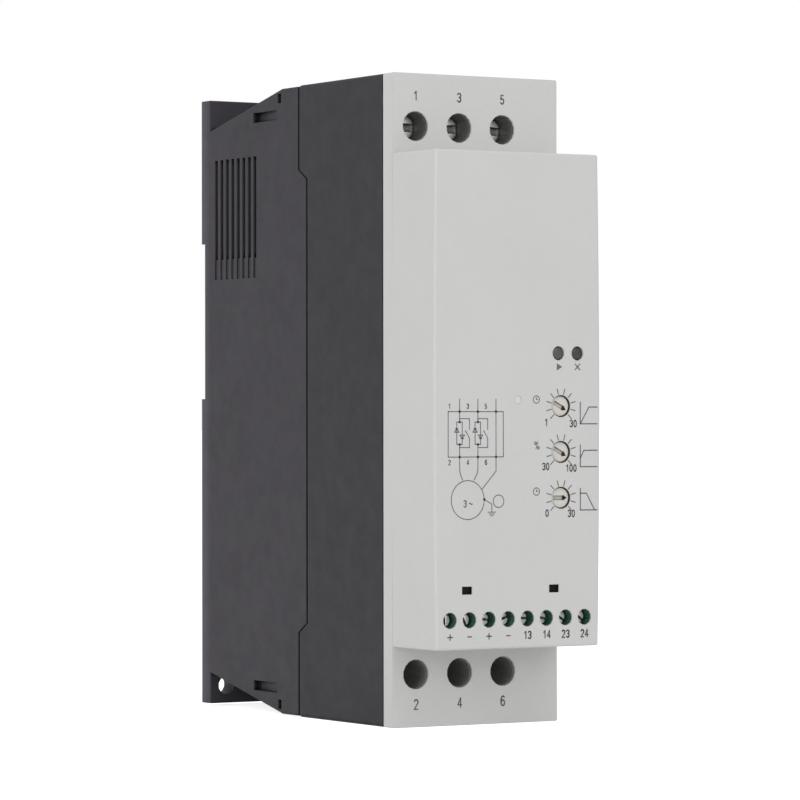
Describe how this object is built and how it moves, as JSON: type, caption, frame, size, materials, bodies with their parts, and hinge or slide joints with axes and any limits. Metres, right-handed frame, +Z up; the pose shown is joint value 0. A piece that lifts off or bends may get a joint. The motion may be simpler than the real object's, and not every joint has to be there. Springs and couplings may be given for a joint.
{
  "type": "motor soft starter",
  "caption": "Slim motor soft starter: vented dark housing for a rail or panel, light stepped cover with screw terminals, setting trimmers and lamps.",
  "frame": {"origin": "centre of the footprint, on the floor plane under the upright device", "axes": "+Z up, -Y out of the front face, +X to the right seen from the front"},
  "size_m": [0.045, 0.11, 0.15],
  "materials": {
    "rear_housing": "fine matt moulded plastic",
    "front_housing": "fine matt moulded plastic",
    "front_cover": "fine satin moulded plastic",
    "line_terminal_block": "matt black plastic",
    "load_terminal_block": "matt black plastic",
    "control_terminal_block": "green terminal plastic",
    "heat_sink": "extruded aluminium",
    "thyristor_module_1": "moulded epoxy",
    "thyristor_module_2": "moulded epoxy",
    "power_board": "green circuit board",
    "bypass_relay_1": "glossy relay case",
    "bypass_relay_2": "glossy relay case",
    "control_board": "green circuit board",
    "line_busbar_1": "tinned copper strip",
    "line_busbar_2": "tinned copper strip",
    "load_busbar_1": "tinned copper strip",
    "load_busbar_2": "tinned copper strip",
    "through_busbar": "tinned copper strip",
    "run_lamp": "dark clear lens",
    "error_lamp": "dark clear lens",
    "trimmer_body_1": "blue trimmer case",
    "trimmer_body_2": "blue trimmer case",
    "trimmer_body_3": "blue trimmer case",
    "cover_catch_1": "matt black plastic",
    "cover_catch_2": "matt black plastic",
    "latch_spring": "drawn spring wire",
    "trimmer_rotor_1": "ivory plastic",
    "trimmer_rotor_2": "ivory plastic",
    "trimmer_rotor_3": "ivory plastic",
    "line_screw_1": "nickel plated steel",
    "line_clamp_1": "zinc plated steel",
    "line_screw_2": "nickel plated steel",
    "line_clamp_2": "zinc plated steel",
    "line_screw_3": "nickel plated steel",
    "line_clamp_3": "zinc plated steel",
    "load_screw_1": "nickel plated steel",
    "load_clamp_1": "zinc plated steel",
    "load_screw_2": "nickel plated steel",
    "load_clamp_2": "zinc plated steel",
    "load_screw_3": "nickel plated steel",
    "load_clamp_3": "zinc plated steel",
    "control_screw_1": "nickel plated steel",
    "control_clamp_1": "zinc plated steel",
    "control_screw_2": "nickel plated steel",
    "control_clamp_2": "zinc plated steel",
    "control_screw_3": "nickel plated steel",
    "control_clamp_3": "zinc plated steel",
    "control_screw_4": "nickel plated steel",
    "control_clamp_4": "zinc plated steel",
    "control_screw_5": "nickel plated steel",
    "control_clamp_5": "zinc plated steel",
    "control_screw_6": "nickel plated steel",
    "control_clamp_6": "zinc plated steel",
    "control_screw_7": "nickel plated steel",
    "control_clamp_7": "zinc plated steel",
    "control_screw_8": "nickel plated steel",
    "control_clamp_8": "zinc plated steel",
    "rail_latch": "matt black plastic"
  },
  "bodies": {
    "housing": {"rear_housing": "rear_housing", "front_housing": "front_housing", "front_cover": "front_cover", "line_terminal_block": "line_terminal_block", "load_terminal_block": "load_terminal_block", "control_terminal_block": "control_terminal_block", "heat_sink": "heat_sink", "thyristor_module_1": "thyristor_module_1", "thyristor_module_2": "thyristor_module_2", "power_board": "power_board", "bypass_relay_1": "bypass_relay_1", "bypass_relay_2": "bypass_relay_2", "control_board": "control_board", "line_busbar_1": "line_busbar_1", "line_busbar_2": "line_busbar_2", "load_busbar_1": "load_busbar_1", "load_busbar_2": "load_busbar_2", "through_busbar": "through_busbar", "run_lamp": "run_lamp", "error_lamp": "error_lamp", "trimmer_body_1": "trimmer_body_1", "trimmer_body_2": "trimmer_body_2", "trimmer_body_3": "trimmer_body_3", "cover_catch_1": "cover_catch_1", "cover_catch_2": "cover_catch_2", "latch_spring": "latch_spring"},
    "trimmer_rotor_1": {"trimmer_rotor_1": "trimmer_rotor_1"},
    "trimmer_rotor_2": {"trimmer_rotor_2": "trimmer_rotor_2"},
    "trimmer_rotor_3": {"trimmer_rotor_3": "trimmer_rotor_3"},
    "line_screw_1": {"line_screw_1": "line_screw_1"},
    "line_clamp_1": {"line_clamp_1": "line_clamp_1"},
    "line_screw_2": {"line_screw_2": "line_screw_2"},
    "line_clamp_2": {"line_clamp_2": "line_clamp_2"},
    "line_screw_3": {"line_screw_3": "line_screw_3"},
    "line_clamp_3": {"line_clamp_3": "line_clamp_3"},
    "load_screw_1": {"load_screw_1": "load_screw_1"},
    "load_clamp_1": {"load_clamp_1": "load_clamp_1"},
    "load_screw_2": {"load_screw_2": "load_screw_2"},
    "load_clamp_2": {"load_clamp_2": "load_clamp_2"},
    "load_screw_3": {"load_screw_3": "load_screw_3"},
    "load_clamp_3": {"load_clamp_3": "load_clamp_3"},
    "control_screw_1": {"control_screw_1": "control_screw_1"},
    "control_clamp_1": {"control_clamp_1": "control_clamp_1"},
    "control_screw_2": {"control_screw_2": "control_screw_2"},
    "control_clamp_2": {"control_clamp_2": "control_clamp_2"},
    "control_screw_3": {"control_screw_3": "control_screw_3"},
    "control_clamp_3": {"control_clamp_3": "control_clamp_3"},
    "control_screw_4": {"control_screw_4": "control_screw_4"},
    "control_clamp_4": {"control_clamp_4": "control_clamp_4"},
    "control_screw_5": {"control_screw_5": "control_screw_5"},
    "control_clamp_5": {"control_clamp_5": "control_clamp_5"},
    "control_screw_6": {"control_screw_6": "control_screw_6"},
    "control_clamp_6": {"control_clamp_6": "control_clamp_6"},
    "control_screw_7": {"control_screw_7": "control_screw_7"},
    "control_clamp_7": {"control_clamp_7": "control_clamp_7"},
    "control_screw_8": {"control_screw_8": "control_screw_8"},
    "control_clamp_8": {"control_clamp_8": "control_clamp_8"},
    "rail_latch": {"rail_latch": "rail_latch"}
  },
  "joints": [
    {"name": "trimmer_turn_1", "type": "hinge", "parent": "housing", "child": "trimmer_rotor_1", "pos_m": [0.0117, -0.05455, 0.0736], "axis": [0, 1, 0], "range_deg": [-253, 17]},
    {"name": "trimmer_turn_2", "type": "hinge", "parent": "housing", "child": "trimmer_rotor_2", "pos_m": [0.0117, -0.05455, 0.0631], "axis": [0, 1, 0], "range_deg": [-253, 17]},
    {"name": "trimmer_turn_3", "type": "hinge", "parent": "housing", "child": "trimmer_rotor_3", "pos_m": [0.0117, -0.05455, 0.0526], "axis": [0, 1, 0], "range_deg": [-225, 45]},
    {"name": "line_screw_1_turn", "type": "hinge", "parent": "housing", "child": "line_screw_1", "pos_m": [-0.0162, -0.0319, 0.13785], "axis": [0, 1, 0], "range_deg": [0, 2314.29]},
    {"name": "line_clamp_1_lift", "type": "slide", "parent": "housing", "child": "line_clamp_1", "axis": [0, -1, 0], "range_m": [0, 0.0045]},
    {"name": "line_screw_2_turn", "type": "hinge", "parent": "housing", "child": "line_screw_2", "pos_m": [-0.0044, -0.0319, 0.13785], "axis": [0, 1, 0], "range_deg": [0, 2314.29]},
    {"name": "line_clamp_2_lift", "type": "slide", "parent": "housing", "child": "line_clamp_2", "axis": [0, -1, 0], "range_m": [0, 0.0045]},
    {"name": "line_screw_3_turn", "type": "hinge", "parent": "housing", "child": "line_screw_3", "pos_m": [0.0074, -0.0319, 0.13785], "axis": [0, 1, 0], "range_deg": [0, 2314.29]},
    {"name": "line_clamp_3_lift", "type": "slide", "parent": "housing", "child": "line_clamp_3", "axis": [0, -1, 0], "range_m": [0, 0.0045]},
    {"name": "load_screw_1_turn", "type": "hinge", "parent": "housing", "child": "load_screw_1", "pos_m": [-0.0162, -0.0239, 0.01215], "axis": [0, 1, 0], "range_deg": [0, 2314.29]},
    {"name": "load_clamp_1_lift", "type": "slide", "parent": "housing", "child": "load_clamp_1", "axis": [0, -1, 0], "range_m": [0, 0.0045]},
    {"name": "load_screw_2_turn", "type": "hinge", "parent": "housing", "child": "load_screw_2", "pos_m": [-0.0044, -0.0239, 0.01215], "axis": [0, 1, 0], "range_deg": [0, 2314.29]},
    {"name": "load_clamp_2_lift", "type": "slide", "parent": "housing", "child": "load_clamp_2", "axis": [0, -1, 0], "range_m": [0, 0.0045]},
    {"name": "load_screw_3_turn", "type": "hinge", "parent": "housing", "child": "load_screw_3", "pos_m": [0.0074, -0.0239, 0.01215], "axis": [0, 1, 0], "range_deg": [0, 2314.29]},
    {"name": "load_clamp_3_lift", "type": "slide", "parent": "housing", "child": "load_clamp_3", "axis": [0, -1, 0], "range_m": [0, 0.0045]},
    {"name": "control_screw_1_turn", "type": "hinge", "parent": "housing", "child": "control_screw_1", "pos_m": [-0.0183, -0.0524, 0.0252], "axis": [0, 1, 0], "range_deg": [0, 1440]},
    {"name": "control_clamp_1_lift", "type": "slide", "parent": "housing", "child": "control_clamp_1", "axis": [0, -1, 0], "range_m": [0, 0.002]},
    {"name": "control_screw_2_turn", "type": "hinge", "parent": "housing", "child": "control_screw_2", "pos_m": [-0.0131, -0.0524, 0.0252], "axis": [0, 1, 0], "range_deg": [0, 1440]},
    {"name": "control_clamp_2_lift", "type": "slide", "parent": "housing", "child": "control_clamp_2", "axis": [0, -1, 0], "range_m": [0, 0.002]},
    {"name": "control_screw_3_turn", "type": "hinge", "parent": "housing", "child": "control_screw_3", "pos_m": [-0.0079, -0.0524, 0.0252], "axis": [0, 1, 0], "range_deg": [0, 1440]},
    {"name": "control_clamp_3_lift", "type": "slide", "parent": "housing", "child": "control_clamp_3", "axis": [0, -1, 0], "range_m": [0, 0.002]},
    {"name": "control_screw_4_turn", "type": "hinge", "parent": "housing", "child": "control_screw_4", "pos_m": [-0.0027, -0.0524, 0.0252], "axis": [0, 1, 0], "range_deg": [0, 1440]},
    {"name": "control_clamp_4_lift", "type": "slide", "parent": "housing", "child": "control_clamp_4", "axis": [0, -1, 0], "range_m": [0, 0.002]},
    {"name": "control_screw_5_turn", "type": "hinge", "parent": "housing", "child": "control_screw_5", "pos_m": [0.0025, -0.0524, 0.0252], "axis": [0, 1, 0], "range_deg": [0, 1440]},
    {"name": "control_clamp_5_lift", "type": "slide", "parent": "housing", "child": "control_clamp_5", "axis": [0, -1, 0], "range_m": [0, 0.002]},
    {"name": "control_screw_6_turn", "type": "hinge", "parent": "housing", "child": "control_screw_6", "pos_m": [0.0077, -0.0524, 0.0252], "axis": [0, 1, 0], "range_deg": [0, 1440]},
    {"name": "control_clamp_6_lift", "type": "slide", "parent": "housing", "child": "control_clamp_6", "axis": [0, -1, 0], "range_m": [0, 0.002]},
    {"name": "control_screw_7_turn", "type": "hinge", "parent": "housing", "child": "control_screw_7", "pos_m": [0.0129, -0.0524, 0.0252], "axis": [0, 1, 0], "range_deg": [0, 1440]},
    {"name": "control_clamp_7_lift", "type": "slide", "parent": "housing", "child": "control_clamp_7", "axis": [0, -1, 0], "range_m": [0, 0.002]},
    {"name": "control_screw_8_turn", "type": "hinge", "parent": "housing", "child": "control_screw_8", "pos_m": [0.0181, -0.0524, 0.0252], "axis": [0, 1, 0], "range_deg": [0, 1440]},
    {"name": "control_clamp_8_lift", "type": "slide", "parent": "housing", "child": "control_clamp_8", "axis": [0, -1, 0], "range_m": [0, 0.002]},
    {"name": "rail_latch_slide", "type": "slide", "parent": "housing", "child": "rail_latch", "axis": [0, 0, -1], "range_m": [0, 0.0028], "stiffness_N_per_m": 600, "springref_m": -0.003, "deforming": ["latch_spring"]}
  ],
  "couplings": [
    {"joint": "line_screw_1_turn", "follows": "line_clamp_1_lift", "rad_per_m": 8976},
    {"joint": "line_screw_2_turn", "follows": "line_clamp_2_lift", "rad_per_m": 8976},
    {"joint": "line_screw_3_turn", "follows": "line_clamp_3_lift", "rad_per_m": 8976},
    {"joint": "load_screw_1_turn", "follows": "load_clamp_1_lift", "rad_per_m": 8976},
    {"joint": "load_screw_2_turn", "follows": "load_clamp_2_lift", "rad_per_m": 8976},
    {"joint": "load_screw_3_turn", "follows": "load_clamp_3_lift", "rad_per_m": 8976},
    {"joint": "control_screw_1_turn", "follows": "control_clamp_1_lift", "rad_per_m": 12566},
    {"joint": "control_screw_2_turn", "follows": "control_clamp_2_lift", "rad_per_m": 12566},
    {"joint": "control_screw_3_turn", "follows": "control_clamp_3_lift", "rad_per_m": 12566},
    {"joint": "control_screw_4_turn", "follows": "control_clamp_4_lift", "rad_per_m": 12566},
    {"joint": "control_screw_5_turn", "follows": "control_clamp_5_lift", "rad_per_m": 12566},
    {"joint": "control_screw_6_turn", "follows": "control_clamp_6_lift", "rad_per_m": 12566},
    {"joint": "control_screw_7_turn", "follows": "control_clamp_7_lift", "rad_per_m": 12566},
    {"joint": "control_screw_8_turn", "follows": "control_clamp_8_lift", "rad_per_m": 12566}
  ]
}
